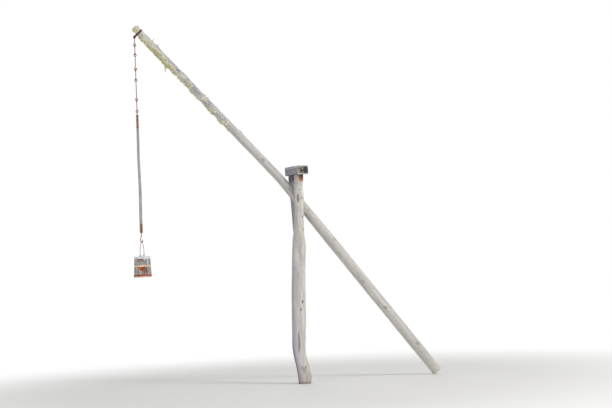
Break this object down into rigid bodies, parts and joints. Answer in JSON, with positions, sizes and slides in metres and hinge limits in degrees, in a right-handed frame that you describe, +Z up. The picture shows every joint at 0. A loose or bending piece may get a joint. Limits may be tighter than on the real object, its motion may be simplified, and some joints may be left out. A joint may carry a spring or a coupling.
{
  "type": "shadoof",
  "caption": "Well sweep: a long weathered pole balanced on a wooden axle in a forked tree trunk, with a chain, rod and coopered bucket hanging from its tip.",
  "frame": {"origin": "on the ground under the axle, on the flat foot of the post", "axes": "+Z up; X along the sweep, with the tip and bucket at -X and the butt at +X; Y along the axle"},
  "size_m": [5.267, 0.6305, 5.8973],
  "materials": {
    "trunk_wood": "weathered grey, barked trunk with lichen",
    "cap_wood": "hewn and weathered, dark end grain",
    "axle_wood": "weathered hardwood",
    "pole_wood": "weathered silver-grey with long checks and lichen",
    "rod_wood": "weathered grey",
    "stave_wood": "weathered grey with stains",
    "rusty_iron": "forged, rusted",
    "hoop_iron": "galvanised, rusted through",
    "galvanised_iron": "galvanised, dull"
  },
  "bodies": {
    "post": {"trunk": "trunk_wood", "cap": "cap_wood", "cap_spike_front": "rusty_iron", "cap_spike_rear": "rusty_iron", "axle_pin": "axle_wood"},
    "sweep": {"sweep_pole": "pole_wood", "tip_strap": "rusty_iron", "strap_bolt": "rusty_iron", "strap_nut": "rusty_iron"},
    "chain": {"chain_link_1": "rusty_iron", "chain_link_2": "rusty_iron", "chain_link_3": "rusty_iron", "chain_link_4": "rusty_iron", "chain_link_5": "rusty_iron", "chain_link_6": "rusty_iron"},
    "rod": {"rod": "rod_wood", "rod_eye": "rusty_iron", "rod_hook": "rusty_iron", "eye_rivets": "rusty_iron", "hook_rivets": "rusty_iron"},
    "bail": {"bail": "rusty_iron"},
    "bucket": {"stave_01": "stave_wood", "stave_02": "stave_wood", "stave_03": "stave_wood", "stave_04": "stave_wood", "stave_05": "stave_wood", "stave_06": "stave_wood", "stave_07": "stave_wood", "stave_08": "stave_wood", "stave_09": "stave_wood", "stave_10": "stave_wood", "stave_11": "stave_wood", "stave_12": "stave_wood", "bucket_bottom": "stave_wood", "top_hoop": "galvanised_iron", "middle_hoop": "hoop_iron", "bottom_hoop": "hoop_iron", "ear_front": "rusty_iron", "ear_rear": "rusty_iron"}
  },
  "joints": [
    {"name": "sweep_pivot", "type": "hinge", "parent": "post", "child": "sweep", "pos_m": [0, 0, 3.05], "axis": [0, -1, 0], "range_deg": [0, 50]},
    {"name": "chain_swing", "type": "hinge", "parent": "sweep", "child": "chain", "pos_m": [-2.65002, 0, 5.71367], "axis": [0, 1, 0], "range_deg": [-5, 60]},
    {"name": "rod_swing", "type": "hinge", "parent": "chain", "child": "rod", "pos_m": [-2.65002, 0, 4.50967], "axis": [0, 1, 0], "range_deg": [-10, 10]},
    {"name": "bail_swing", "type": "hinge", "parent": "rod", "child": "bail", "pos_m": [-2.65002, 0, 2.42512], "axis": [0, 1, 0], "range_deg": [-10, 10]},
    {"name": "bucket_tilt", "type": "hinge", "parent": "bail", "child": "bucket", "pos_m": [-2.65002, 0, 2.20212], "axis": [0, 1, 0], "range_deg": [-75, 75]}
  ]
}
